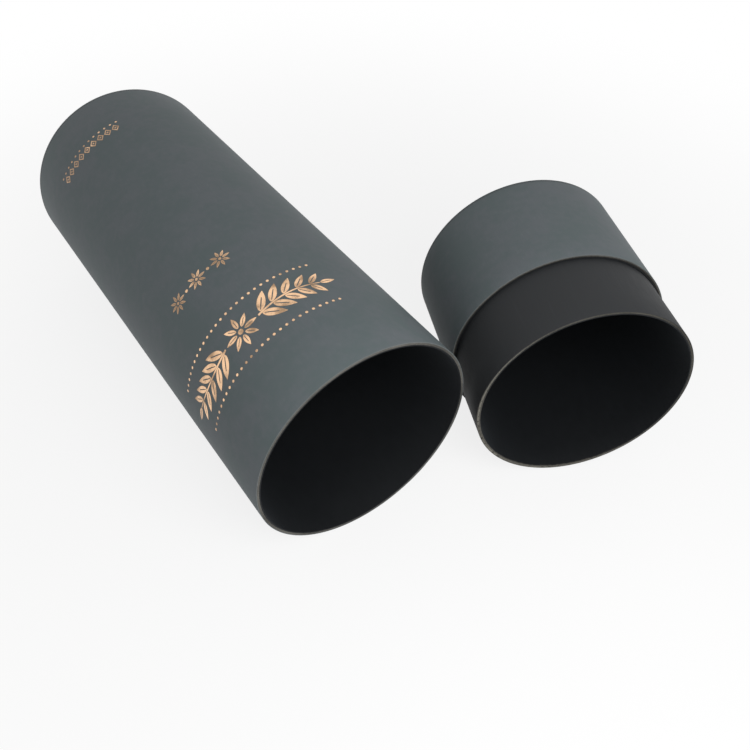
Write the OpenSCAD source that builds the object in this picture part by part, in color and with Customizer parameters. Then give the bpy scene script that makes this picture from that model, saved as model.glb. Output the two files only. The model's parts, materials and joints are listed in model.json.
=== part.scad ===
// Paper tube with its lid taken off, both lying on their sides.
// The body is a wound board tube with grey paper outside, black card inside and a board disc in its far end.
// The lid's shell is a short length of the same tube. A black neck is glued into it and plugs into the
// body's mouth by a slip fit. Every rim is cut flush, so the raw board shows between the facings.

/* [Tube] */
// Outside diameter of the body and of the lid, over the grey paper
tube_d = 85; // [60:0.5:120]
// Thickness of the grey outer paper
wrap_t = 0.25; // [0.1:0.05:0.5]
// Thickness of the wound board wall of the body and of the lid's shell
board_t = 0.8; // [0.5:0.05:3]
// Thickness of the black lining card in the body, the shell and the neck
lining_t = 0.45; // [0.2:0.05:1]

/* [Body] */
// Length of the body, from its mouth to the rim of its closed end
body_l = 200; // [90:1:400]

/* [Lid] */
// Length of the lid's grey shell
lid_l = 49; // [20:0.5:120]
// Length of neck that stands out of the shell
neck_out = 28.8; // [10:0.2:60]
// Thickness of the neck's wound board wall
neck_board_t = 0.65; // [0.5:0.05:2]
// Thickness of the black paper around the neck
neck_paper_t = 0.2; // [0.1:0.05:0.5]

/* [Closed ends] */
// Thickness of the board discs
disc_t = 1.5; // [0.8:0.1:4]
// Depth of each disc below the rim around it
disc_inset = 1.5; // [0.5:0.1:6]

/* [Fits] */
// Clearance around the neck, on the radius: a slip fit in the body and the glue line in the lid's shell
slip_fit = 0.15; // [0.05:0.05:0.5]
// Clearance around each disc in its tube, on the radius
disc_fit = 0.05; // [0.02:0.01:0.2]

/* [Layout] */
// Angle between the lid's axis and the body's axis
lid_turn = 23.7; // [10:0.1:40]
// Distance of the neck's near edge in front of the body's mouth
lid_ahead = 9.7; // [0:0.1:40]
// Room left between the lid and the body, and between the lid and the straight way into the body
lid_gap = 0.4; // [0.2:0.1:20]

/* [Hidden] */
$fn = 160;

// Radii of the layers, from the outside in
tube_r = tube_d / 2;
board_r = tube_r - wrap_t;
lining_r = board_r - board_t;
bore_r = lining_r - lining_t;
neck_r = bore_r - slip_fit;
neck_board_r = neck_r - neck_paper_t;
neck_lining_r = neck_board_r - neck_board_t;
neck_bore_r = neck_lining_r - lining_t;
disc_r = lining_r - disc_fit;

// Distances from each mouth to the inner face of the disc that closes the tube
body_depth = body_l - disc_inset - disc_t;
lid_depth = lid_l - disc_inset - disc_t;
neck_l = neck_out + lid_depth;
lid_reach = neck_out + lid_l;

// Nearest the lid may come: clear of the way into the body, of the body's rim and of its outside
lid_near_x = lid_gap + max(
    bore_r,
    tube_r - lid_ahead * tan(lid_turn),
    tube_r - neck_out * sin(lid_turn) + (tube_r - neck_r) * cos(lid_turn)
);

// Centre of the neck's mouth, seen from the centre of the body's mouth
lid_x = lid_near_x + neck_r * cos(lid_turn);
lid_y = -lid_ahead - neck_r * sin(lid_turn);

// Reach of the two tubes over the ground, which puts the origin under their middle
x_low = -tube_r;
x_high = lid_x + lid_reach * sin(lid_turn) + tube_r * cos(lid_turn);
y_low = min(lid_y - neck_r * sin(lid_turn), lid_y + neck_out * cos(lid_turn) - tube_r * sin(lid_turn));
y_high = max(body_l, lid_y + lid_reach * cos(lid_turn) + tube_r * sin(lid_turn));
middle = [(x_low + x_high) / 2, (y_low + y_high) / 2, 0];

GREY = [0.35, 0.37, 0.38];
BLACK = [0.1, 0.1, 0.11];
BOARD = [0.6, 0.53, 0.45];

// A plain tube that stands on the ground plane
module ring_wall(outer_r, inner_r, length) {
    linear_extrude(length) difference() {
        circle(outer_r);
        circle(inner_r);
    }
}

// Lays a tube on the ground, with its mouth towards -Y and its centre line over the given point
module laid_down(mouth, turn) {
    translate(mouth - middle + [0, 0, tube_r]) rotate([0, 0, -turn]) rotate([-90, 0, 0]) children();
}

module lay_body() {
    laid_down([0, 0, 0], 0) children();
}

module lay_lid() {
    laid_down([lid_x, lid_y, 0], lid_turn) children();
}

// Grey paper around the body, from rim to rim
module body_wrap() {
    color(GREY) lay_body() ring_wall(tube_r, board_r, body_l);
}

// Wound board wall of the body
module body_board() {
    color(BOARD) lay_body() ring_wall(board_r, lining_r, body_l);
}

// Black card inside the body, down to the base disc
module body_lining() {
    color(BLACK) lay_body() ring_wall(lining_r, bore_r, body_depth);
}

// Board disc that closes the body, set in from the rim
module body_base() {
    color(GREY) lay_body() translate([0, 0, body_depth]) cylinder(h = disc_t, r = disc_r);
}

// Grey paper around the lid's shell
module lid_wrap() {
    color(GREY) lay_lid() translate([0, 0, neck_out]) ring_wall(tube_r, board_r, lid_l);
}

// Wound board wall of the lid's shell
module lid_board() {
    color(BOARD) lay_lid() translate([0, 0, neck_out]) ring_wall(board_r, lining_r, lid_l);
}

// Black card inside the shell, which the neck is glued to
module lid_lining() {
    color(BLACK) lay_lid() translate([0, 0, neck_out]) ring_wall(lining_r, bore_r, lid_depth);
}

// Board disc that closes the lid, with the neck's end against it
module lid_top() {
    color(GREY) lay_lid() translate([0, 0, neck_l]) cylinder(h = disc_t, r = disc_r);
}

// Black paper around the neck
module neck_wrap() {
    color(BLACK) lay_lid() ring_wall(neck_r, neck_board_r, neck_l);
}

// Wound board wall of the neck
module neck_board() {
    color(BOARD) lay_lid() ring_wall(neck_board_r, neck_lining_r, neck_l);
}

// Black card inside the neck
module neck_lining() {
    color(BLACK) lay_lid() ring_wall(neck_lining_r, neck_bore_r, neck_l);
}

body_wrap();
body_board();
body_lining();
body_base();
lid_wrap();
lid_board();
lid_lining();
lid_top();
neck_wrap();
neck_board();
neck_lining();
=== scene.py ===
import json
import math
from collections import namedtuple

import bmesh
import bpy
from mathutils import Matrix, Vector


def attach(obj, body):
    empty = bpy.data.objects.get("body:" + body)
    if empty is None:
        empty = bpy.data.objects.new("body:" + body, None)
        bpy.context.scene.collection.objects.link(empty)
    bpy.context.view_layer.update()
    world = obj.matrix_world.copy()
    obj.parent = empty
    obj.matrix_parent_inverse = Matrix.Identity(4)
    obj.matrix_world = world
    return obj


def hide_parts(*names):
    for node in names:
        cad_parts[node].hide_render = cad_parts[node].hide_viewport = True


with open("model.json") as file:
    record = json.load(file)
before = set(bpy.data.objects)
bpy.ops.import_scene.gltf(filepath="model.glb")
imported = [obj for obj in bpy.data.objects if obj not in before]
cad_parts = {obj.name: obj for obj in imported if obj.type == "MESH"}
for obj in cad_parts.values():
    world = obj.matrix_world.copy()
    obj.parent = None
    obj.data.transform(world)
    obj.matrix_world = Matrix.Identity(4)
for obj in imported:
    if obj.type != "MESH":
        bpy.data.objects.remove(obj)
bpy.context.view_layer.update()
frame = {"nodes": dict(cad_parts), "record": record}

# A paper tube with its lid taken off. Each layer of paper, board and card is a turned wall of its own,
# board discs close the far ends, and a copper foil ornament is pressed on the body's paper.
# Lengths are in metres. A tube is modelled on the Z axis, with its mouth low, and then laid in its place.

bl_info = {
    "name": "Paper Tube",
    "version": (1, 0, 0),
    "blender": (4, 5, 0),
    "location": "3D View > Sidebar > Paper Tube",
    "description": "Builds a layered paper tube, its lid and a foil ornament around a packed frame",
    "category": "Add Mesh",
}

MM = 0.001
FULL_TURN = 2.0 * math.pi
RIGHT_ANGLE = math.pi / 2
UP = Vector((0.0, 0.0, 1.0))
ORIGIN = (0.0, 0.0, 0.0)
SAME_PLACE = 0.0005 * MM
WHITE = (1.0, 1.0, 1.0, 1.0)

RimCut = namedtuple("RimCut", "edge rough fibre")
Section = namedtuple("Section", "near far inner outer")


# Properties

def length(name, description, millimetres):
    """A property for a length, given in millimetres."""
    return bpy.props.FloatProperty(
        name=name, description=description, default=millimetres * MM, precision=5, unit="LENGTH"
    )


def angle(name, description, degrees):
    """A property for an angle, given in degrees."""
    return bpy.props.FloatProperty(
        name=name, description=description, default=math.radians(degrees), subtype="ANGLE"
    )


def share(name, description, default):
    """A property for a share from 0 to 1."""
    return bpy.props.FloatProperty(
        name=name, description=description, default=default, min=0.0, max=1.0, subtype="FACTOR"
    )


def count(name, description, default):
    """A property for a number of like things."""
    return bpy.props.IntProperty(name=name, description=description, default=default, min=1)


def colour(name, description, default):
    """A property for a linear colour."""
    return bpy.props.FloatVectorProperty(
        name=name, description=description, default=default, min=0.0, max=1.0, size=3, subtype="COLOR"
    )


class TubeWalls(bpy.types.PropertyGroup):
    """How the turned walls and the discs are cut"""

    steps: count("Steps", "Faces around each wall and disc", 600)
    paper_edge: length("Paper edge", "Rounding along the cut edges of paper and card", 0.05)
    board_edge: length("Board edge", "Rounding along the cut edges of wound board", 0.09)
    paper_rough: length("Paper rim", "How far a cut paper rim strays from flat", 0.03)
    board_rough: length("Board rim", "How far a cut board rim strays from flat", 0.12)
    fibre: length("Fibre", "Size of the tufts on a cut rim", 0.6)
    neck_rough: length("Neck rim", "How far the neck's board rim strays from flat", 0.45)
    neck_fibre: length("Neck fibre", "Size of the tufts on the neck's board rim", 1.3)
    lap_width: length("Lap width", "Width of the outer paper's lap", 9.0)
    lap_step: length("Lap step", "Height of the outer paper's lap", 0.1)
    lap_turn: angle("Lap turn", "Place of the lap around the tube, from its top", 145.0)

    def paper_cut(self):
        """How the rims of paper and card are cut."""
        return RimCut(self.paper_edge, self.paper_rough, self.fibre)

    def board_cut(self):
        """How the rims of the shells' board are cut."""
        return RimCut(self.board_edge, self.board_rough, self.fibre)

    def neck_cut(self):
        """How the rims of the neck's board are cut and worn."""
        return RimCut(self.board_edge, self.neck_rough, self.neck_fibre)


class FoilOrnament(bpy.types.PropertyGroup):
    """Sizes and places of the copper foil ornament"""

    foil_t: length("Foil", "Height of the foil above the paper", 0.04)
    turn: angle("Turn", "Place of the ornament around the body, from its top", -34.5)
    stroke: length("Stroke", "Width of a drawn line", 0.8)
    garland_at: length("Garland place", "From the mouth to the garland", 38.0)
    flower_r: length("Flower", "Radius of the garland's flower", 7.0)
    stem_l: length("Stem", "Length of each of the garland's stems", 24.0)
    sway: length("Sway", "How far each stem bows from straight", 1.2)
    leaf_l: length("Leaf", "Length of the garland's largest leaf", 8.8)
    leaf_spread: angle("Leaf spread", "Turn of a leaf away from its stem", 47.0)
    leaf_pairs: count("Leaf pairs", "Pairs of leaves on each stem", 5)
    bead_rows_at: length("Bead rows", "From the garland's middle to each row of beads", 10.5)
    bead_rows_w: length("Bead row", "Length of each row of beads", 66.0)
    bead_r: length("Bead", "Radius of a bead", 0.5)
    beads: count("Beads", "Beads in each row beside the garland", 27)
    petals: count("Petals", "Petals of each flower", 8)
    posy_at: length("Posy place", "From the mouth to the row of small flowers", 70.0)
    posy_r: length("Posy", "Radius of a small flower", 4.0)
    posies: count("Posies", "Small flowers in the row", 3)
    border_at: length("Border place", "From the mouth to the border", 172.0)
    border_w: length("Border width", "Length of the border around the body", 34.0)
    border_beads: count("Border beads", "Beads in the border's row", 13)
    lozenges: count("Lozenges", "Lozenges in the border", 9)


class TubeFinish(bpy.types.PropertyGroup):
    """Colours and wear of the papers, the board and the foil"""

    grey_paper: colour("Grey paper", "Outer paper of the body and the lid", (0.108, 0.1275, 0.1345))
    hairs: share("Hairs", "How far the grey paper's pale hairs show", 0.2)
    # Painted highlight along the grey paper's near rim
    rim_highlight: share("Worn rim", "How far wear pales the grey paper's near rim", 0.25)
    # A darker band along the grey paper's far rim
    far_rim_dark: share("Pressed rim", "How far the grey paper's far rim is darkened", 0.6)
    black_paper: colour("Black paper", "Paper around the neck", (0.0191, 0.0206, 0.0224))
    lining: colour("Lining", "Card inside the tubes", (0.0068, 0.0079, 0.0092))
    scuffs: share("Scuffs", "How far scuffs show on black paper and card", 0.12)
    # Both board colours are darker than bare board: they hold painted shade for the thin cut rims
    board: colour("Board", "Cut rims of the body's and the lid's board", (0.088, 0.085, 0.077))
    neck_board: colour("Neck board", "Cut rim of the neck's board", (0.122, 0.116, 0.099))
    # Painted shade on the rim of the lid's shell, beside the neck
    glue: share("Glue", "How far glue darkens the rim of the lid's shell", 0.85)
    # Darkens the upper right side of the neck's rim
    ink: share("Ink", "How far ink stays on the neck's rim", 0.65)
    wear: share("Wear", "How far the neck's rim is nicked and frayed", 0.75)
    copper: colour("Copper", "Pressed foil", (0.95, 0.615, 0.375))
    # Shares of dull foil, partly wear and partly painted darker reflection, on the garland, the small
    # flowers and the border
    garland_wear_and_dark_reflection: share("Garland wear", "How dull the garland's foil is worn", 0.45)
    posies_wear_and_dark_reflection: share("Posies wear", "How dull the small flowers' foil is worn", 0.8)
    border_wear_and_dark_reflection: share("Border wear", "How dull the border's foil is worn", 1.0)


class StudioSettings(bpy.types.PropertyGroup):
    """Camera, light and floor"""

    azimuth: angle("Azimuth", "Camera's turn around the tube", -36.7445)
    elevation: angle("Elevation", "Camera's height above the horizon", 45.7268)
    roll: angle("Roll", "Camera's turn about its own line of sight", 2.3409)
    distance: length("Distance", "From the camera to the point it looks at", 293.316)
    aim_across: length("Aim across", "Point looked at, to the right of the body's mouth", 21.395)
    aim_along: length("Aim along", "Point looked at, inwards from the body's mouth", 25.413)
    lens: bpy.props.FloatProperty(
        name="Lens", description="Focal length in millimetres", default=38.018, subtype="DISTANCE_CAMERA"
    )
    key_power: bpy.props.FloatProperty(
        name="Key", description="Power of the soft key lamp", default=0.63, unit="POWER"
    )
    key_size: length("Key size", "Width of the soft key lamp", 200.0)
    key_across: length("Key across", "Key lamp, to the right of the body's mouth", 0.0)
    key_along: length("Key along", "Key lamp, inwards from the body's mouth", -200.0)
    key_height: length("Key height", "Key lamp, above the middle of the body's mouth", 180.0)
    ambient: share("Ambient", "Strength of the white surroundings as light", 0.4)
    floor: colour("Floor", "Pale floor", (0.86, 0.86, 0.86))
    floor_glow: share("Floor glow", "How much of the floor's white stays in the shadow", 0.82)
    floor_near: length("Floor near", "Where the floor starts to fade to white, from the origin", 60.0)
    floor_far: length("Floor far", "Where the floor is all white, from the origin", 420.0)


# The frame's tubes

class Tube:
    """A tube's centre line: the middle of its mouth, the way in, and the side to its right."""

    def __init__(self, mount_name):
        found = [m for m in frame["record"]["mounts"] if m["name"] == mount_name]
        if not found:
            raise RuntimeError(f"the frame has no mount named {mount_name}")
        self.mouth = Vector(found[0]["pos_m"])
        self.inward = -Vector(found[0]["axis"]).normalized()
        self.side = self.inward.cross(UP)

    def placing(self):
        """Lays what was modelled on the Z axis along the tube, with X turned to its top."""
        axes = Matrix((UP, self.side, self.inward)).transposed().to_4x4()
        return Matrix.Translation(self.mouth) @ axes

    def heading(self):
        """The tube's turn about the vertical, with no turn where it runs along Y."""
        return math.atan2(-self.inward.x, self.inward.y)

    def outward(self, turn):
        """The direction out of the tube at a turn from its top."""
        return UP * math.cos(turn) + self.side * math.sin(turn)

    def section(self, node):
        """The ends and the radii of one of the frame's nodes on this tube."""
        places = [v.co - self.mouth for v in frame["nodes"][node].data.vertices]
        along = [p.dot(self.inward) for p in places]
        out = [(p - self.inward * a).length for p, a in zip(places, along)]
        return Section(min(along), max(along), min(out), max(out))


BODY = Tube("body_mouth")
LID = Tube("neck_bore")


# Modelling

CORNER_STEPS = 3
RIM_CUTS = 5
LENGTH_CUTS = 7
TUFT_DEPTH = 4
SMOOTH_ANGLE = math.radians(40.0)
FACING_MOUTH = -0.5


def deselect():
    """Deselects every object."""
    bpy.ops.object.select_all(action="DESELECT")


def activate(piece):
    """Selects one object and nothing else."""
    deselect()
    piece.select_set(True)
    bpy.context.view_layer.objects.active = piece


def name_piece(piece, name):
    """Names an object and its mesh."""
    piece.name = name
    piece.data.name = name


def edit():
    """Enters edit mode with everything selected."""
    bpy.ops.object.mode_set(mode="EDIT")
    bpy.ops.mesh.select_all(action="SELECT")


def leave_edit():
    """Goes back to object mode."""
    bpy.ops.object.mode_set(mode="OBJECT")


def apply_modifier(piece, modifier):
    """Makes what a modifier does to a piece part of its mesh."""
    activate(piece)
    bpy.ops.object.modifier_apply(modifier=modifier.name)


def keep_place():
    """Keeps the selected object's place, turn and size in its mesh."""
    bpy.ops.object.transform_apply(location=True, rotation=True, scale=True)


def select_points(wanted):
    """In edit mode, selects the points whose place is wanted, and what joins them."""
    bpy.ops.mesh.select_all(action="DESELECT")
    mesh = bpy.context.edit_object.data
    shape = bmesh.from_edit_mesh(mesh)
    for point in shape.verts:
        if wanted(point.co):
            point.select_set(True)
    shape.select_flush(True)
    bmesh.update_edit_mesh(mesh)


def add_section(name, near, far, inner, outer):
    """A flat rectangle beside the Z axis, as the section of a wall."""
    deselect()
    middle = ((inner + outer) / 2, 0.0, (near + far) / 2)
    bpy.ops.mesh.primitive_plane_add(size=1.0, location=middle, rotation=(RIGHT_ANGLE, 0.0, 0.0))
    piece = bpy.context.object
    name_piece(piece, name)
    piece.scale = (outer - inner, far - near, 1.0)
    keep_place()
    return piece


def round_corners(wanted, radius):
    """In edit mode, rounds the section's wanted corners."""
    select_points(wanted)
    bpy.ops.mesh.bevel(offset=radius, segments=CORNER_STEPS, affect="VERTICES")


def keep_outline():
    """In edit mode, leaves only the section's outline."""
    bpy.ops.mesh.select_all(action="SELECT")
    bpy.ops.mesh.delete(type="ONLY_FACE")


def divide_edges(axis, level, cuts):
    """In edit mode, cuts the outline's edges that lie at a level of an axis."""
    select_points(lambda place: abs(getattr(place, axis) - level) < SAME_PLACE)
    bpy.ops.mesh.subdivide(number_cuts=cuts)


def turn_section(piece, steps):
    """Turns the section's outline once about the Z axis and closes the seam."""
    lathe = piece.modifiers.new("lathe", "SCREW")
    lathe.axis = "Z"
    lathe.angle = FULL_TURN
    lathe.steps = steps
    lathe.render_steps = steps
    apply_modifier(piece, lathe)
    edit()
    bpy.ops.mesh.remove_doubles(threshold=SAME_PLACE)
    bpy.ops.mesh.normals_make_consistent(inside=False)
    leave_edit()


def displace(piece, weight, direction, middle, strength, texture=None):
    """Moves a piece's points as far as the weight at their place lets them."""
    group = piece.vertex_groups.new(name="reach")
    for point in piece.data.vertices:
        group.add([point.index], max(0.0, weight(point.co)), "REPLACE")
    mover = piece.modifiers.new("displace", "DISPLACE")
    mover.vertex_group = group.name
    mover.texture = texture
    mover.texture_coords = "LOCAL"
    mover.direction = direction
    mover.mid_level = middle
    mover.strength = strength
    apply_modifier(piece, mover)
    piece.vertex_groups.clear()


def roughen_rims(piece, near, far, cut):
    """Lets the cut rims stray from flat, as torn fibres do."""
    tufts = bpy.data.textures.new(piece.name + "_tufts", "CLOUDS")
    tufts.noise_scale = cut.fibre
    tufts.noise_depth = TUFT_DEPTH

    def weight(place):
        return 1.0 - min(abs(place.z - near), abs(far - place.z)) / cut.edge

    displace(piece, weight, "Z", 0.5, cut.rough, tufts)


def make_wall(name, node, tube, cut, steps):
    """A turned wall as long and as thick as a node, with rounded and roughened rims."""
    near, far, inner, outer = tube.section(node)
    piece = add_section(name, near, far, inner, outer)
    edit()
    round_corners(lambda place: True, cut.edge)
    keep_outline()
    divide_edges("z", near, RIM_CUTS)
    divide_edges("z", far, RIM_CUTS)
    divide_edges("x", outer, LENGTH_CUTS)
    divide_edges("x", inner, LENGTH_CUTS)
    leave_edit()
    turn_section(piece, steps)
    roughen_rims(piece, near, far, cut)
    return piece


def raise_lap(piece, outer, walls):
    """Lifts a strip along the outer paper, where its end laps over its start."""
    half_lap = walls.lap_width / outer / 2

    def weight(place):
        outside = math.hypot(place.x, place.y) > outer - SAME_PLACE
        aside = abs(math.atan2(place.y, place.x) - walls.lap_turn)
        return 1.0 if outside and aside < half_lap else 0.0

    displace(piece, weight, "NORMAL", 0.0, walls.lap_step)


def make_disc(name, node, tube, walls):
    """A turned disc as large as a node, with a rounded edge."""
    near, far, _, outer = tube.section(node)
    piece = add_section(name, near, far, 0.0, outer)
    edit()
    round_corners(lambda place: place.x > outer / 2, walls.board_edge)
    keep_outline()
    select_points(lambda place: place.x < SAME_PLACE)
    bpy.ops.mesh.delete(type="EDGE")
    divide_edges("z", near, RIM_CUTS)
    divide_edges("z", far, RIM_CUTS)
    leave_edit()
    turn_section(piece, walls.steps)
    return piece


def lay(piece, placing):
    """Lays a piece in its place and keeps that in its mesh."""
    activate(piece)
    piece.matrix_world = placing
    keep_place()


def give(piece, slot, *materials):
    """Smooths a finished piece, gives it its materials and lets it ride on the tube."""
    activate(piece)
    bpy.ops.object.shade_smooth_by_angle(angle=SMOOTH_ANGLE)
    for material in materials:
        piece.data.materials.append(material)
    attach(piece, "root")


def seat(piece, tube, node, slot, *materials):
    """Lays a wall or a disc along its tube, finishes it and lets it stand for a node."""
    lay(piece, tube.placing())
    give(piece, slot, *materials)
    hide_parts(node)


# Shader nodes

class Value:
    """A number that changes over a surface. Arithmetic on it adds Math nodes."""

    def __init__(self, nodes, socket):
        self.nodes = nodes
        self.socket = socket

    def maths(self, operation, first, second):
        """Adds one Math node."""
        return self.nodes.node("ShaderNodeMath", {"operation": operation}, {0: first, 1: second})

    def __add__(self, other):
        return self.maths("ADD", self, other)

    def __radd__(self, other):
        return self.maths("ADD", other, self)

    def __sub__(self, other):
        return self.maths("SUBTRACT", self, other)

    def __rsub__(self, other):
        return self.maths("SUBTRACT", other, self)

    def __mul__(self, other):
        return self.maths("MULTIPLY", self, other)

    def __rmul__(self, other):
        return self.maths("MULTIPLY", other, self)


class Nodes:
    """The node tree of a material on a tube, or of the floor or the world."""

    def __init__(self, tree, tube=None):
        self.tree = tree
        self.tube = tube
        self.tree.nodes.clear()

    def node(self, kind, settings=None, sockets=None, output=0):
        """Adds a node, sets it up, fills or links its sockets and returns one of its outputs."""
        made = self.tree.nodes.new(kind)
        for name, value in (settings or {}).items():
            setattr(made, name, value)
        for name, value in (sockets or {}).items():
            if isinstance(value, Value):
                self.tree.links.new(value.socket, made.inputs[name])
            else:
                made.inputs[name].default_value = value
        return Value(self, made.outputs[output]) if made.outputs else None

    def on_object(self):
        """Object coordinates."""
        return self.node("ShaderNodeTexCoord", output="Object")

    def on_tube(self, cell):
        """Object coordinates from the tube's mouth, turned along it, in cells across, along and up."""
        sockets = {
            "Vector": self.on_object(),
            "Location": self.tube.mouth,
            "Rotation": (0.0, 0.0, self.tube.heading()),
            "Scale": cell,
        }
        return self.node("ShaderNodeMapping", {"vector_type": "TEXTURE"}, sockets)

    def parts(self, place):
        """The distances across, along and up that a place holds."""
        return [self.node("ShaderNodeSeparateXYZ", sockets={0: place}, output=axis) for axis in "XYZ"]

    def measures(self):
        """Distances across, along and up from the tube's mouth, in metres."""
        return self.parts(self.on_tube((1.0, 1.0, 1.0)))

    def distance(self, first, second):
        """The distance that two distances at right angles make."""
        return self.node("ShaderNodeMath", {"operation": "SQRT"}, {0: first * first + second * second})

    def noise(self, cell, detail):
        """A noise with one lump in each cell, from 0 to 1."""
        sockets = {"Vector": self.on_tube(cell), "Scale": 1.0, "Detail": detail}
        return self.node("ShaderNodeTexNoise", {"noise_dimensions": "3D"}, sockets)

    def lumps(self, size, detail=2.0):
        """A noise of round lumps of a size."""
        return self.noise((size, size, size), detail)

    def streaks(self, width, reach, detail=2.0):
        """A noise of streaks along the tube."""
        return self.noise((width, reach, width), detail)

    def layers(self, radius, thickness):
        """A noise of thin layers around the tube, from 0 to 1."""
        sockets = {"W": radius * (1.0 / thickness), "Scale": 1.0, "Detail": 1.0}
        return self.node("ShaderNodeTexNoise", {"noise_dimensions": "1D"}, sockets)

    def step(self, value, low, high):
        """0 below the low value, 1 above the high one, and smooth between them."""
        sockets = {"Value": value, "From Min": low, "From Max": high}
        return self.node("ShaderNodeMapRange", {"interpolation_type": "SMOOTHSTEP"}, sockets)

    def mixed(self, factor, first, second):
        """A colour between two colours. The Mix node's colour sockets go by number."""
        sockets = {0: factor, 6: first, 7: second}
        return self.node("ShaderNodeMix", {"data_type": "RGBA"}, sockets, output=2)

    def bump(self, height, depth, strength):
        """A normal that follows a height from 0 to 1, times a depth."""
        sockets = {"Height": height, "Distance": depth, "Strength": strength}
        return self.node("ShaderNodeBump", sockets=sockets)

    def surface(self, sockets):
        """The principled shader at the end of a material."""
        shader = self.node("ShaderNodeBsdfPrincipled", sockets=sockets)
        self.node("ShaderNodeOutputMaterial", sockets={"Surface": shader})


def new_material(name, tube=None):
    """A new material and its nodes."""
    material = bpy.data.materials.new(name)
    material.use_nodes = True
    return material, Nodes(material.node_tree, tube)


def toned(tint, levels):
    """A colour with each of its parts made lighter or darker, and its alpha."""
    return tuple(min(1.0, part * level) for part, level in zip(tint, levels)) + (1.0,)


def shaded(tint, level):
    """A colour made lighter or darker, with its alpha."""
    return toned(tint, (level, level, level))


def towards(direction, across, height, radius):
    """How far a place on a rim lies towards a direction, as a share of the rim's radius."""
    right, up = direction
    return (right / radius) * across + (up / radius) * height


# Grey paper

CLOUD = 16.0 * MM
BLOTCH = 3.0 * MM
HAIR_WIDTH = 0.45 * MM
HAIR_LENGTH = 3.5 * MM
GREY_TOOTH = 0.22 * MM

COOL_LEVELS = (0.91675, 0.97465, 0.950525)
WARM_LEVELS = (1.0764, 1.035, 1.0557)
HAIR_LEVEL = 1.55
FAR_RIM_DARK_LEVEL = 0.35
RIM_HIGHLIGHT_PAPER = (0.17, 0.165, 0.15, 1.0)

# Noise values between which clouds turn warm, hairs show, and patches bear hairs
CLOUD_TURN = (0.35, 0.65)
HAIR_TURN = (0.5, 0.68)
HAIRY_TURN = (0.4, 0.62)

# Distances from a rim at which its painted highlight and its dark band end, and how raggedly
RIM_HIGHLIGHT_REACH = (0.2 * MM, 0.7 * MM)
FAR_RIM_DARK_REACH = (0.7 * MM, 2.0 * MM)
RAGGED = 0.5 * MM

GREY_ROUGH = 0.56
GREY_TOOTH_ROUGH = 0.12
HAIR_ROUGH = 0.06
GREY_GLOSS = 0.28
PAPER_RELIEF = 0.02 * MM
PAPER_BUMP = 0.35


def grey_rims(nodes, section, hair, plain):
    """The grey paper's colour with a darker band along the far rim and a painted highlight along the near
    rim.
    """
    finish = bpy.context.scene.tube_finish
    _, depth, _ = nodes.measures()
    ragged = RAGGED * hair
    # A darker band along the far rim
    far_rim_dark = 1.0 - nodes.step(section.far - depth + ragged, *FAR_RIM_DARK_REACH)
    # Painted highlight along the near rim
    rim_highlight = 1.0 - nodes.step(depth - section.near + ragged, *RIM_HIGHLIGHT_REACH)
    darkened = nodes.mixed(finish.far_rim_dark * far_rim_dark, plain, shaded(finish.grey_paper, FAR_RIM_DARK_LEVEL))
    return nodes.mixed(finish.rim_highlight * rim_highlight, darkened, RIM_HIGHLIGHT_PAPER)


def grey_paper(name, tube, section=None):
    """Matte uncoated paper with soft clouding and short hairs. A wall's section adds its two rims."""
    finish = bpy.context.scene.tube_finish
    tint = finish.grey_paper
    material, nodes = new_material(name, tube)
    cloud = nodes.lumps(CLOUD, detail=3.0)
    blotch = nodes.lumps(BLOTCH)
    hair = nodes.streaks(HAIR_WIDTH, HAIR_LENGTH)
    tooth = nodes.lumps(GREY_TOOTH)
    clouds = nodes.step(0.6 * cloud + 0.4 * blotch, *CLOUD_TURN)
    hairy = nodes.step(0.5 * cloud + 0.5 * blotch, *HAIRY_TURN)
    hairs = nodes.step(0.75 * hair + 0.25 * tooth, *HAIR_TURN) * hairy
    clouded = nodes.mixed(clouds, toned(tint, COOL_LEVELS), toned(tint, WARM_LEVELS))
    plain = nodes.mixed(finish.hairs * hairs, clouded, shaded(tint, HAIR_LEVEL))
    nodes.surface({
        "Base Color": grey_rims(nodes, section, hair, plain) if section else plain,
        "Roughness": GREY_ROUGH + GREY_TOOTH_ROUGH * tooth + HAIR_ROUGH * hairs,
        "Specular IOR Level": GREY_GLOSS,
        "Normal": nodes.bump(0.6 * tooth + 0.4 * hair, PAPER_RELIEF, PAPER_BUMP),
    })
    return material


# Black paper and card

FIBRE_WIDTH = 0.5 * MM
FIBRE_LENGTH = 6.0 * MM
BLACK_TOOTH = 0.25 * MM
SCUFF_WIDTH = 1.2 * MM
SCUFF_LENGTH = 22.0 * MM
TUFT = 1.1 * MM

PAPER_SHINE = {"Specular IOR Level": 0.3}
CARD_SHINE = {
    "Specular IOR Level": 0.2,
    "Sheen Weight": 0.04,
    "Sheen Roughness": 0.4,
    "Sheen Tint": (0.8, 0.9, 1.0, 1.0),
}
DARK_GRAIN_LEVEL = 0.85
PALE_GRAIN_LEVEL = 1.2
SCUFF_LEVEL = 2.2
FRAYED_PAPER = (0.115, 0.108, 0.092, 1.0)

# Noise values between which the grain turns pale, and scuffs show
GRAIN_TURN = (0.3, 0.7)
SCUFF_TURN = (0.55, 0.8)

# Distances from a rim between which fraying ends, and how raggedly
FRAYED_REACH = (0.5 * MM, 1.2 * MM)
FRAYED_RAGGED = 1.2 * MM

# A rim's worn side, to the right and up, and the shares of its radius between which wear sets in
LOWER_LEFT = (-0.6, -0.8)
LOWER_LEFT_TURN = (0.1, 0.75)

BLACK_ROUGH = 0.6
GRAIN_ROUGH = 0.15


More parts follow.
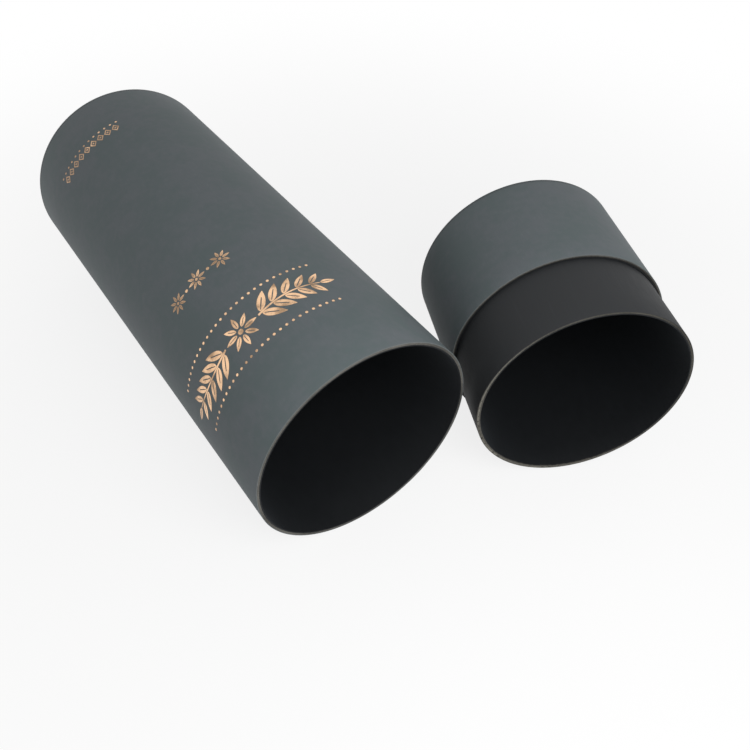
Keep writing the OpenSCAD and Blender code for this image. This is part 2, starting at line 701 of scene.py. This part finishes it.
def matte_black(name, tube, node, tint, shine, wear):
    """Matte black with a fine grain, scuffs along the tube, and fraying on the near rim's lower left."""
    finish = bpy.context.scene.tube_finish
    section = tube.section(node)
    material, nodes = new_material(name, tube)
    across, depth, height = nodes.measures()
    fibre = nodes.streaks(FIBRE_WIDTH, FIBRE_LENGTH)
    tooth = nodes.lumps(BLACK_TOOTH)
    scuff = nodes.streaks(SCUFF_WIDTH, SCUFF_LENGTH, detail=4.0)
    tuft = nodes.lumps(TUFT, detail=3.0)
    pale = nodes.step(0.5 * fibre + 0.5 * tooth, *GRAIN_TURN)
    grained = nodes.mixed(pale, shaded(tint, DARK_GRAIN_LEVEL), shaded(tint, PALE_GRAIN_LEVEL))
    scuffs = finish.scuffs * nodes.step(scuff, *SCUFF_TURN)
    scuffed = nodes.mixed(scuffs, grained, shaded(tint, SCUFF_LEVEL))
    near_rim = 1.0 - nodes.step(depth - section.near + FRAYED_RAGGED * tuft, *FRAYED_REACH)
    lower_left = nodes.step(towards(LOWER_LEFT, across, height, section.outer), *LOWER_LEFT_TURN)
    nodes.surface({
        "Base Color": nodes.mixed(wear * near_rim * lower_left, scuffed, FRAYED_PAPER),
        "Roughness": BLACK_ROUGH + GRAIN_ROUGH * pale,
        "Normal": nodes.bump(0.6 * tooth + 0.4 * fibre, PAPER_RELIEF, PAPER_BUMP),
        **shine,
    })
    return material


def black_card(name, tube, node, wear=0.0):
    """The linings' matte black card, with a faint cool sheen."""
    return matte_black(name, tube, node, bpy.context.scene.tube_finish.lining, CARD_SHINE, wear)


# Cut board

PLY = 0.16 * MM
BOARD_FIBRE = 0.5 * MM
PATCH = 18.0 * MM
NICK = 1.6 * MM

DARK_PLY_LEVEL = 0.6
PALE_PLY_LEVEL = 1.5
DARKENED_LEVEL = 0.1

# Noise values between which plies turn pale, and nicks show
PLY_TURN = (0.38, 0.62)
NICK_TURN = (0.52, 0.62)

# Distances from the near rim, and from the inside, at which the rim's darkening and its painted shade end
DARKENED_REACH = (1.0 * MM, 3.0 * MM)
PAINTED_SHADE_REACH = (0.3 * MM, 0.6 * MM)

# A rim's darker side, to the right and up, the shares of its radius between which the darkening sets in,
# and how raggedly
UPPER_RIGHT = (0.7, 0.7)
UPPER_RIGHT_TURN = (-0.45, 0.6)
DARKENING_RAGGED = 0.3

BOARD_ROUGH = 0.85
BOARD_FIBRE_ROUGH = 0.1
BOARD_GLOSS = 0.2
BOARD_RELIEF = 0.06 * MM
BOARD_BUMP = 0.6


def raw_board(name, tube, node, tint, glue=0.0, ink=0.0, wear=0.0):
    """Cut board with plies and fibres. Painted shade, a darker upper right and nicks darken its near rim
    where given.
    """
    section = tube.section(node)
    material, nodes = new_material(name, tube)
    across, depth, height = nodes.measures()
    radius = nodes.distance(across, height)
    plies = nodes.layers(radius, PLY)
    fibre = nodes.lumps(BOARD_FIBRE, detail=3.0)
    patch = nodes.lumps(PATCH)
    nick = nodes.lumps(NICK)
    pale = nodes.step(0.2 * plies + 0.35 * fibre + 0.45 * patch, *PLY_TURN)
    bare = nodes.mixed(pale, shaded(tint, DARK_PLY_LEVEL), shaded(tint, PALE_PLY_LEVEL))
    near_rim = 1.0 - nodes.step(depth - section.near, *DARKENED_REACH)
    # Painted shade on the plies by the inside, which the lid's shell gets beside the neck
    inner_shade = 1.0 - nodes.step(radius - section.inner, *PAINTED_SHADE_REACH)
    # The upper right side of the rim is darker
    upwards = towards(UPPER_RIGHT, across, height, section.outer) + DARKENING_RAGGED * patch
    upper_right = nodes.step(upwards, *UPPER_RIGHT_TURN)
    lower_left = nodes.step(towards(LOWER_LEFT, across, height, section.outer), *LOWER_LEFT_TURN)
    nicks = nodes.step(nick, *NICK_TURN) * lower_left
    # The near rim darkens where painted shade, the darker side and nicks are given
    undarkened = (1.0 - glue * inner_shade) * (1.0 - ink * upper_right) * (1.0 - wear * nicks)
    nodes.surface({
        "Base Color": nodes.mixed(near_rim * (1.0 - undarkened), bare, shaded(tint, DARKENED_LEVEL)),
        "Roughness": BOARD_ROUGH + BOARD_FIBRE_ROUGH * fibre,
        "Specular IOR Level": BOARD_GLOSS,
        "Normal": nodes.bump(0.5 * fibre + 0.5 * plies, BOARD_RELIEF, BOARD_BUMP),
    })
    return material


# Copper foil

FOIL_TOOTH = 0.35 * MM
FOIL_CLOUD = 6.0 * MM

DULL_AND_DARK_REFLECTION_LEVEL = 0.42
THIN_LEVEL = 0.25
THINNING = 0.3

# Noise values between which foil turns dull (wear and painted darker reflection) and thin, and how far
# wear raises the first noise
DULL_AND_DARK_REFLECTION_TURN = (0.56, 0.8)
THIN_TURN = (0.6, 0.74)
WEAR_AND_DARK_REFLECTION_SHIFT = 0.3

FOIL_ROUGH = 0.24
DULL_ROUGH = 0.18
THIN_ROUGH = 0.1
FOIL_RELIEF = 0.015 * MM
FOIL_BUMP = 0.35


def copper_foil(name, tube, wear):
    """Pressed copper foil that follows the paper's tooth, thin in spots, and dull where worn and with
    painted darker reflection.
    """
    tint = bpy.context.scene.tube_finish.copper
    material, nodes = new_material(name, tube)
    tooth = nodes.lumps(FOIL_TOOTH)
    cloud = nodes.lumps(FOIL_CLOUD, detail=3.0)
    # Dull patches: worn foil and painted darker reflection
    dull = nodes.step(0.8 * cloud + 0.2 * tooth + WEAR_AND_DARK_REFLECTION_SHIFT * wear, *DULL_AND_DARK_REFLECTION_TURN)
    thin = nodes.step(tooth, *THIN_TURN)
    dulled_and_reflection_darkened = nodes.mixed(dull, shaded(tint, 1.0), shaded(tint, DULL_AND_DARK_REFLECTION_LEVEL))
    nodes.surface({
        "Base Color": nodes.mixed(THINNING * thin, dulled_and_reflection_darkened, shaded(tint, THIN_LEVEL)),
        "Metallic": 1.0,
        "Roughness": FOIL_ROUGH + DULL_ROUGH * dull + THIN_ROUGH * thin,
        "Normal": nodes.bump(tooth, FOIL_RELIEF, FOIL_BUMP),
    })
    return material


# Foil drawing, flat on the ground plane before it is pressed round the body

# A leaf's breadth, the power of its swelling, the place of its full breadth and of its vein, in lengths.
# The vein takes the middle row of the leaf's grid, before the grid is narrowed.
LEAF_BREADTH = 0.36
LEAF_SWELL = 0.7
LEAF_FULLEST = 0.42
LEAF_COLUMNS = 12
LEAF_ROWS = 7
VEIN_START = 0.08
VEIN_END = 0.67
VEIN_SIDE = 0.1
COLLAPSED = 0.0001
COLUMN_DIGITS = 5

DOT_SIDES = 24
DOT_INSET = 0.5

# A lozenge's breadth and line in heights
LOZENGE_BREADTH = 0.7
LOZENGE_LINE = 0.1

STEM_COLUMNS = 32
STEM_THINNING = 0.5
STEM_DIGITS = 6
SAME_COLUMN = 4 * SAME_PLACE

# A flower's eye and the root of its petals in radii
FLOWER_EYE = 0.15
PETAL_ROOT = 0.25

# A sprig's start in radii of the flower, its first leaves in pitches, how much each pair is smaller,
# a leaf's stalk in strokes, and the place and size of the tip's leaf in lengths of the stem and leaf
SPRIG_START = 1.12
FIRST_LEAVES = 0.2
LEAF_SHRINKING = 0.07
LEAF_STALK = 0.8
TIP_PLACE = 1.01
TIP_LEAF = 0.65

# Pitch and dots of the small flowers in their radii, and height and dots of the lozenges in their pitch
POSY_PITCH = 2.7
POSY_DOT = 0.16
LOZENGE_HEIGHT = 1.3
LOZENGE_DOT = 0.12

# How deep the foil is pressed into the paper, in heights that it stands proud
FOIL_SUNK = 0.25


def columns(piece, digits):
    """The distances along X at which a grid has points."""
    return sorted({round(point.co.x, digits) for point in piece.data.vertices})


def leaf_outline(along):
    """Breadth of a leaf of unit length at a share of that length."""
    fullest = LEAF_FULLEST ** LEAF_SWELL * (1.0 - LEAF_FULLEST)
    return LEAF_BREADTH * along ** LEAF_SWELL * (1.0 - along) / fullest


def make_leaf():
    """A leaf of unit length from the origin along X, narrowed column by column, with a bare vein."""
    deselect()
    bpy.ops.mesh.primitive_grid_add(
        x_subdivisions=LEAF_COLUMNS, y_subdivisions=LEAF_ROWS, size=1.0, location=(0.5, 0.0, 0.0)
    )
    leaf = bpy.context.object
    keep_place()
    edit()
    select_points(lambda place: abs(place.y) < VEIN_SIDE and VEIN_START < place.x < VEIN_END)
    bpy.ops.mesh.delete(type="FACE")
    for column in columns(leaf, COLUMN_DIGITS):
        select_points(lambda place: abs(place.x - column) < COLLAPSED)
        narrowed = (1.0, leaf_outline(min(max(column, 0.0), 1.0)), 1.0)
        bpy.ops.transform.resize(value=narrowed, center_override=(column, 0.0, 0.0))
    bpy.ops.mesh.select_all(action="SELECT")
    bpy.ops.mesh.remove_doubles(threshold=COLLAPSED)
    leave_edit()
    return leaf


def make_dot():
    """A round dot of unit radius."""
    deselect()
    bpy.ops.mesh.primitive_circle_add(vertices=DOT_SIDES, radius=1.0, fill_type="NGON")
    edit()
    bpy.ops.mesh.inset(thickness=DOT_INSET)
    leave_edit()
    return bpy.context.object


def make_lozenge():
    """A lozenge of unit height with an open middle."""
    deselect()
    bpy.ops.mesh.primitive_circle_add(vertices=4, radius=0.5, fill_type="NGON")
    edit()
    bpy.ops.transform.resize(value=(LOZENGE_BREADTH, 1.0, 1.0), center_override=ORIGIN)
    bpy.ops.mesh.inset(thickness=LOZENGE_LINE)
    bpy.ops.mesh.delete(type="FACE")
    leave_edit()
    return bpy.context.object


def stem_sway(along, reach, sway):
    """How far a stem strays aside at a distance along it."""
    return sway * math.sin(math.pi * along / reach)


def stem_slope(along, reach, sway):
    """A stem's turn away from straight at a distance along it."""
    return math.atan(sway * math.pi / reach * math.cos(math.pi * along / reach))


def make_stem(reach, stroke, sway):
    """A drawn line from the origin along X that bows to one side and thins to its end."""
    deselect()
    bpy.ops.mesh.primitive_grid_add(
        x_subdivisions=STEM_COLUMNS, y_subdivisions=1, size=1.0, location=(reach / 2, 0.0, 0.0)
    )
    stem = bpy.context.object
    stem.scale = (reach, stroke, 1.0)
    keep_place()
    edit()
    for column in columns(stem, STEM_DIGITS):
        select_points(lambda place: abs(place.x - column) < SAME_COLUMN)
        thinned = (1.0, 1.0 - STEM_THINNING * column / reach, 1.0)
        bpy.ops.transform.resize(value=thinned, center_override=(column, 0.0, 0.0))
        bpy.ops.transform.translate(value=(0.0, stem_sway(column, reach, sway), 0.0))
    leave_edit()
    return stem


def stamp(pattern, x, y, size, turn=0.0):
    """A copy of a pattern with its own mesh, at a place, size and turn."""
    copy = pattern.copy()
    copy.data = pattern.data.copy()
    bpy.context.collection.objects.link(copy)
    placing = Matrix.Translation((x, y, 0.0)) @ Matrix.Rotation(turn, 4, "Z")
    copy.matrix_world = placing @ Matrix.Scale(size, 4)
    return copy


def stamp_flower(leaf, dot, x, radius, petals):
    """A ring of petals around a dot."""
    stamps = [stamp(dot, x, 0.0, FLOWER_EYE * radius)]
    root = PETAL_ROOT * radius
    for petal in range(petals):
        turn = FULL_TURN * petal / petals
        stamps.append(stamp(leaf, x + root * math.cos(turn), root * math.sin(turn), radius - root, turn))
    return stamps


def stamp_sprig(leaf, stem, heading, foil):
    """A stem that leaves the garland's flower, with pairs of leaves and a leaf at its tip."""
    about = Matrix.Rotation(heading, 4, "Z")
    start = SPRIG_START * foil.flower_r
    root = about @ Vector((start, 0.0, 0.0))
    stamps = [stamp(stem, root.x, root.y, 1.0, heading)]
    pitch = foil.stem_l / foil.leaf_pairs
    for pair in range(foil.leaf_pairs):
        along = (pair + FIRST_LEAVES) * pitch
        size = foil.leaf_l * (1.0 - LEAF_SHRINKING * pair)
        slope = stem_slope(along, foil.stem_l, foil.sway)
        joint = Vector((start + along, stem_sway(along, foil.stem_l, foil.sway), 0.0))
        for way in (1.0, -1.0):
            turn = slope + way * foil.leaf_spread
            out = Vector((math.cos(turn), math.sin(turn), 0.0))
            place = about @ (joint + out * foil.stroke * LEAF_STALK)
            stamps.append(stamp(leaf, place.x, place.y, size, heading + turn))
    tip = about @ Vector((start + foil.stem_l * TIP_PLACE, 0.0, 0.0))
    stamps.append(stamp(leaf, tip.x, tip.y, TIP_LEAF * foil.leaf_l, heading))
    return stamps


def centred_row(places, pitch):
    """Distances of like places from the middle of their row."""
    return [(place - (places - 1) / 2) * pitch for place in range(places)]


def stamp_row(dot, width, y, radius, beads):
    """A row of beads."""
    return [stamp(dot, x, y, radius) for x in centred_row(beads, width / (beads - 1))]


def join_drawing(name, stamps, patterns):
    """Joins stamped copies to one drawing and clears the patterns away."""
    for pattern in patterns:
        bpy.data.objects.remove(pattern)
    activate(stamps[0])
    keep_place()
    for other in stamps:
        other.select_set(True)
    bpy.ops.object.join()
    drawing = bpy.context.object
    name_piece(drawing, name)
    return drawing


def thicken(drawing, foil):
    """Gives a flat drawing its thickness, most of it on its upper side, and stands it up."""
    activate(drawing)
    edit()
    bpy.ops.mesh.normals_make_consistent(inside=False)
    leave_edit()
    thick = drawing.modifiers.new("thickness", "SOLIDIFY")
    thick.thickness = foil.foil_t * (1.0 + FOIL_SUNK)
    thick.offset = (1.0 - FOIL_SUNK) / (1.0 + FOIL_SUNK)
    apply_modifier(drawing, thick)
    drawing.rotation_euler = (RIGHT_ANGLE, 0.0, 0.0)
    keep_place()


def wrap_round(drawing, radius):
    """Bends a standing drawing about the Z axis to a radius."""
    across = [point.co.x for point in drawing.data.vertices]
    wrap = drawing.modifiers.new("wrap", "SIMPLE_DEFORM")
    wrap.deform_method = "BEND"
    wrap.deform_axis = "Z"
    wrap.angle = (max(across) - min(across)) / radius
    apply_modifier(drawing, wrap)


def press_foil(kind, stamps, patterns, distance, wear):
    """Joins stamped copies and presses them on the body's paper, at a distance from the mouth."""
    foil = bpy.context.scene.foil_ornament
    radius = BODY.section("body_wrap").outer
    drawing = join_drawing("foil_" + kind, stamps, patterns)
    thicken(drawing, foil)
    wrap_round(drawing, radius)
    out = BODY.outward(foil.turn)
    axes = Matrix((BODY.inward.cross(out), -out, BODY.inward)).transposed().to_4x4()
    lay(drawing, Matrix.Translation(BODY.mouth + BODY.inward * distance + out * radius) @ axes)
    give(drawing, "copper_foil", copper_foil(kind + "_copper_foil", BODY, wear))


# Operators

def make_board(part, tube, walls, cut, tint, **darkening):
    """A board wall, with whichever darkening of its near rim is given."""
    node = part + "_board"
    board = make_wall(part + "_wall", node, tube, cut, walls.steps)
    seat(board, tube, node, "raw_board", raw_board(part + "_raw_board", tube, node, tint, **darkening))


def make_lining(part, tube, walls, wear=0.0):
    """The black card inside a board wall."""
    node = part + "_lining"
    card = make_wall(part + "_card", node, tube, walls.paper_cut(), walls.steps)
    seat(card, tube, node, "black_paper", black_card(part + "_black_card", tube, node, wear))


def make_shell(part, tube, scene, glue=0.0):
    """The grey paper, board wall and black lining of the body or of the lid's shell."""
    walls = scene.tube_walls
    node = part + "_wrap"
    section = tube.section(node)
    paper = make_wall(part + "_paper", node, tube, walls.paper_cut(), walls.steps)
    raise_lap(paper, section.outer, walls)
    seat(paper, tube, node, "grey_paper", grey_paper(part + "_grey_paper", tube, section))
    make_board(part, tube, walls, walls.board_cut(), scene.tube_finish.board, glue=glue)
    make_lining(part, tube, walls)


class PAPERTUBE_OT_body_walls(bpy.types.Operator):
    """Turn the body's grey paper, board wall and black lining"""

    bl_idname = "papertube.body_walls"
    bl_label = "Body Walls"

    def execute(self, context):
        make_shell("body", BODY, context.scene)
        return {"FINISHED"}


class PAPERTUBE_OT_lid_walls(bpy.types.Operator):
    """Turn the grey paper, board wall and black lining of the lid's shell"""

    bl_idname = "papertube.lid_walls"
    bl_label = "Lid Walls"

    def execute(self, context):
        # The lid's shell gets painted shade on its board rim, beside the neck
        make_shell("lid", LID, context.scene, glue=context.scene.tube_finish.glue)
        return {"FINISHED"}


class PAPERTUBE_OT_neck_walls(bpy.types.Operator):
    """Turn the black paper, board wall and black lining of the neck"""

    bl_idname = "papertube.neck_walls"
    bl_label = "Neck Walls"

    def execute(self, context):
        walls = context.scene.tube_walls
        finish = context.scene.tube_finish
        wear = finish.wear
        paper = make_wall("neck_paper", "neck_wrap", LID, walls.paper_cut(), walls.steps)
        black = matte_black("neck_black_paper", LID, "neck_wrap", finish.black_paper, PAPER_SHINE, wear)
        seat(paper, LID, "neck_wrap", "black_paper", black)
        make_board("neck", LID, walls, walls.neck_cut(), finish.neck_board, ink=finish.ink, wear=wear)
        make_lining("neck", LID, walls, wear)
        return {"FINISHED"}


class PAPERTUBE_OT_end_discs(bpy.types.Operator):
    """Turn the two board discs that close the far ends, grey outside and black inside"""

    bl_idname = "papertube.end_discs"
    bl_label = "End Discs"

    def execute(self, context):
        for name, node, tube in (("body_disc", "body_base", BODY), ("lid_disc", "lid_top", LID)):
            disc = make_disc(name, node, tube, context.scene.tube_walls)
            grey = grey_paper(name + "_grey_paper", tube)
            black = black_card(name + "_black_card", tube, node)
            seat(disc, tube, node, "end_disc", grey, black)
            for face in disc.data.polygons:
                if face.normal.dot(tube.inward) < FACING_MOUTH:
                    face.material_index = 1
        return {"FINISHED"}


class PAPERTUBE_OT_garland(bpy.types.Operator):
    """Press the copper garland near the body's mouth: a flower, two leafy stems and two rows of beads"""

    bl_idname = "papertube.garland"
    bl_label = "Foil Garland"

    def execute(self, context):
        foil = context.scene.foil_ornament
        leaf = make_leaf()
        dot = make_dot()
        stem = make_stem(foil.stem_l, foil.stroke, foil.sway)
        stamps = stamp_flower(leaf, dot, 0.0, foil.flower_r, foil.petals)
        for heading in (0.0, math.pi):
            stamps += stamp_sprig(leaf, stem, heading, foil)
        for side in (1.0, -1.0):
            stamps += stamp_row(dot, foil.bead_rows_w, side * foil.bead_rows_at, foil.bead_r, foil.beads)
        wear = context.scene.tube_finish.garland_wear_and_dark_reflection
        press_foil("garland", stamps, (leaf, dot, stem), foil.garland_at, wear)
        return {"FINISHED"}


class PAPERTUBE_OT_posies(bpy.types.Operator):
    """Press the row of small copper flowers behind the garland, with dots between them"""

    bl_idname = "papertube.posies"
    bl_label = "Foil Posies"

    def execute(self, context):
        foil = context.scene.foil_ornament
        leaf = make_leaf()
        dot = make_dot()
        pitch = POSY_PITCH * foil.posy_r
        stamps = []
        for x in centred_row(foil.posies, pitch):
            stamps += stamp_flower(leaf, dot, x, foil.posy_r, foil.petals)
        for x in centred_row(foil.posies - 1, pitch):
            stamps.append(stamp(dot, x, 0.0, POSY_DOT * foil.posy_r))
        press_foil("posies", stamps, (leaf, dot), foil.posy_at, context.scene.tube_finish.posies_wear_and_dark_reflection)
        return {"FINISHED"}


class PAPERTUBE_OT_border(bpy.types.Operator):
    """Press the copper border, a row of lozenges under a row of beads, near the closed end"""

    bl_idname = "papertube.border"
    bl_label = "Foil Border"

    def execute(self, context):
        foil = context.scene.foil_ornament
        dot = make_dot()
        lozenge = make_lozenge()
        pitch = foil.border_w / foil.lozenges
        stamps = []
        for x in centred_row(foil.lozenges, pitch):
            stamps.append(stamp(lozenge, x, 0.0, LOZENGE_HEIGHT * pitch))
            stamps.append(stamp(dot, x, 0.0, LOZENGE_DOT * pitch))
        stamps += stamp_row(dot, foil.border_w, pitch, foil.bead_r, foil.border_beads)
        press_foil("border", stamps, (dot, lozenge), foil.border_at, context.scene.tube_finish.border_wear_and_dark_reflection)
        return {"FINISHED"}


# Stage

FLOOR_SIZE = 8.0
SENSOR_WIDTH = 36.0


def seen_rays(nodes):
    """1 on rays from the camera or from a mirror-like or clear surface, and 0 on the rest."""
    unseen = 1.0
    for kind in ("Is Camera Ray", "Is Glossy Ray", "Is Transmission Ray"):
        unseen = unseen * (1.0 - nodes.node("ShaderNodeLightPath", output=kind))
    return 1.0 - unseen


def add_floor(studio):
    """A wide pale floor that keeps a soft shadow near the tube and fades to white further out."""
    deselect()
    bpy.ops.mesh.primitive_plane_add(size=FLOOR_SIZE)
    floor = bpy.context.object
    floor.name = "floor"
    material, nodes = new_material("pale_floor")
    pale = nodes.node("ShaderNodeBsdfDiffuse", sockets={"Color": shaded(studio.floor, 1.0)})
    white = nodes.node("ShaderNodeEmission", sockets={"Color": WHITE, "Strength": 1.0})
    across, along, _ = nodes.parts(nodes.on_object())
    fade = nodes.step(nodes.distance(across, along), studio.floor_near, studio.floor_far)
    glow = (1.0 - (1.0 - studio.floor_glow) * (1.0 - fade)) * seen_rays(nodes)
    mixed = nodes.node("ShaderNodeMixShader", sockets={0: glow, 1: pale, 2: white})
    nodes.node("ShaderNodeOutputMaterial", sockets={"Surface": mixed})
    floor.data.materials.append(material)


def add_surroundings(studio):
    """White surroundings, which light the tube more faintly than they show."""
    world = bpy.data.worlds.new("studio")
    world.use_nodes = True
    bpy.context.scene.world = world
    nodes = Nodes(world.node_tree)
    strength = 1.0 - (1.0 - studio.ambient) * (1.0 - seen_rays(nodes))
    background = nodes.node("ShaderNodeBackground", sockets={"Color": WHITE, "Strength": strength})
    nodes.node("ShaderNodeOutputWorld", sockets={"Surface": background})


def add_key_lamp(studio):
    """One soft lamp in front of the mouths, unseen by the camera."""
    reach = BODY.side * studio.key_across + BODY.inward * studio.key_along + UP * studio.key_height
    facing = (-reach).to_track_quat("-Z", "Y").to_euler()
    bpy.ops.object.light_add(type="AREA", location=BODY.mouth + reach, rotation=facing)
    lamp = bpy.context.object
    lamp.name = "key_lamp"
    lamp.visible_camera = False
    lamp.data.energy = studio.key_power
    lamp.data.size = studio.key_size


def add_camera(studio):
    """The camera, turned and rolled about its aim."""
    a = studio.azimuth
    e = studio.elevation
    r = studio.roll
    back = Vector((math.sin(a) * math.cos(e), -math.cos(a) * math.cos(e), math.sin(e)))
    right = Vector((math.cos(a), math.sin(a), 0.0))
    above = back.cross(right)
    across = right * math.cos(r) + above * math.sin(r)
    upward = above * math.cos(r) - right * math.sin(r)
    aim = BODY.mouth + BODY.side * studio.aim_across + BODY.inward * studio.aim_along
    turned = Matrix((across, upward, back)).transposed().to_euler()
    bpy.ops.object.camera_add(location=aim + back * studio.distance, rotation=turned)
    camera = bpy.context.object
    camera.data.lens = studio.lens
    camera.data.sensor_width = SENSOR_WIDTH
    bpy.context.scene.camera = camera


class PAPERTUBE_OT_stage(bpy.types.Operator):
    """Set up the floor, the light and the camera"""

    bl_idname = "papertube.stage"
    bl_label = "Stage"

    def execute(self, context):
        studio = context.scene.tube_studio
        context.scene.view_settings.view_transform = "Standard"
        add_floor(studio)
        add_surroundings(studio)
        add_key_lamp(studio)
        add_camera(studio)
        return {"FINISHED"}


# Registration

SETTINGS = {
    "tube_walls": TubeWalls,
    "foil_ornament": FoilOrnament,
    "tube_finish": TubeFinish,
    "tube_studio": StudioSettings,
}
OPERATORS = (
    PAPERTUBE_OT_body_walls,
    PAPERTUBE_OT_lid_walls,
    PAPERTUBE_OT_neck_walls,
    PAPERTUBE_OT_end_discs,
    PAPERTUBE_OT_garland,
    PAPERTUBE_OT_posies,
    PAPERTUBE_OT_border,
    PAPERTUBE_OT_stage,
)


class PAPERTUBE_PT_build(bpy.types.Panel):
    """Lists the tube's operators and settings"""

    bl_label = "Paper Tube"
    bl_space_type = "VIEW_3D"
    bl_region_type = "UI"
    bl_category = "Paper Tube"

    def draw(self, context):
        for operator in OPERATORS:
            self.layout.operator(operator.bl_idname)
        for name, group in SETTINGS.items():
            box = self.layout.box()
            for setting in group.__annotations__:
                box.prop(getattr(context.scene, name), setting)


def register():
    for name, group in SETTINGS.items():
        bpy.utils.register_class(group)
        setattr(bpy.types.Scene, name, bpy.props.PointerProperty(type=group))
    for made in OPERATORS + (PAPERTUBE_PT_build,):
        bpy.utils.register_class(made)


def unregister():
    for made in reversed(OPERATORS + (PAPERTUBE_PT_build,)):
        bpy.utils.unregister_class(made)
    for name, group in SETTINGS.items():
        delattr(bpy.types.Scene, name)
        bpy.utils.unregister_class(group)


def main():
    """Builds every piece and the stage."""
    register()
    bpy.ops.papertube.body_walls()
    bpy.ops.papertube.lid_walls()
    bpy.ops.papertube.neck_walls()
    bpy.ops.papertube.end_discs()
    bpy.ops.papertube.garland()
    bpy.ops.papertube.posies()
    bpy.ops.papertube.border()
    bpy.ops.papertube.stage()


if __name__ == "__main__":
    main()
